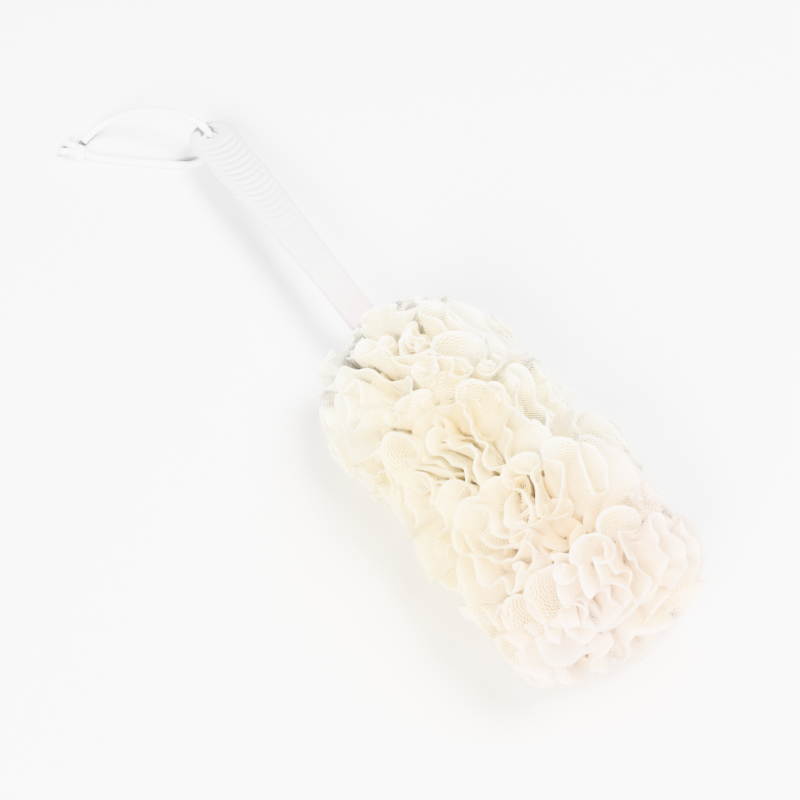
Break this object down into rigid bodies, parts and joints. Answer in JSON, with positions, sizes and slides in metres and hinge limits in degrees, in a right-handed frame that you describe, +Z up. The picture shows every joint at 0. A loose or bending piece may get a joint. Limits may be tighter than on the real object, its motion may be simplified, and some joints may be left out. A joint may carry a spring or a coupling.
{
  "type": "bath back scrubber",
  "caption": "Long-handled bath scrubber with gathered nylon netting tied around the stem of a curved plastic handle and a hanging cord loop.",
  "frame": {"origin": "centre of the bounding box's base, on the surface that the scrubber lies on, measured without the hanging cord and its knot", "axes": "+X from the grip to the tip of the head, +Z up, away from the surface that the scrubber lies on"},
  "size_m": [0.4456, 0.1285, 0.1068],
  "materials": {
    "handle_plastic": "white moulded plastic with a faint pink cast and a soft satin surface",
    "netting": "cream knitted nylon netting, see-through in one layer and warm yellow in the deep folds",
    "twine": "thin off-white twisted nylon twine",
    "cord": "white braided cord with a soft sheen"
  },
  "bodies": {
    "scrubber": {"handle": "handle_plastic", "netting_ruffle_1": "netting", "netting_ruffle_2": "netting", "netting_ruffle_3": "netting", "netting_ruffle_4": "netting", "tip_rosette": "netting", "binding_twine_1": "twine", "binding_twine_2": "twine", "binding_twine_3": "twine", "binding_twine_4": "twine", "binding_twine_5": "twine"},
    "hanging_loop": {"hanging_cord": "cord", "cord_knot": "cord"}
  },
  "joints": [
    {"name": "loop_swing", "type": "hinge", "parent": "scrubber", "child": "hanging_loop", "pos_m": [-0.193, 0, 0.0205], "axis": [0, 0, 1], "range_deg": [-146, 34]}
  ]
}
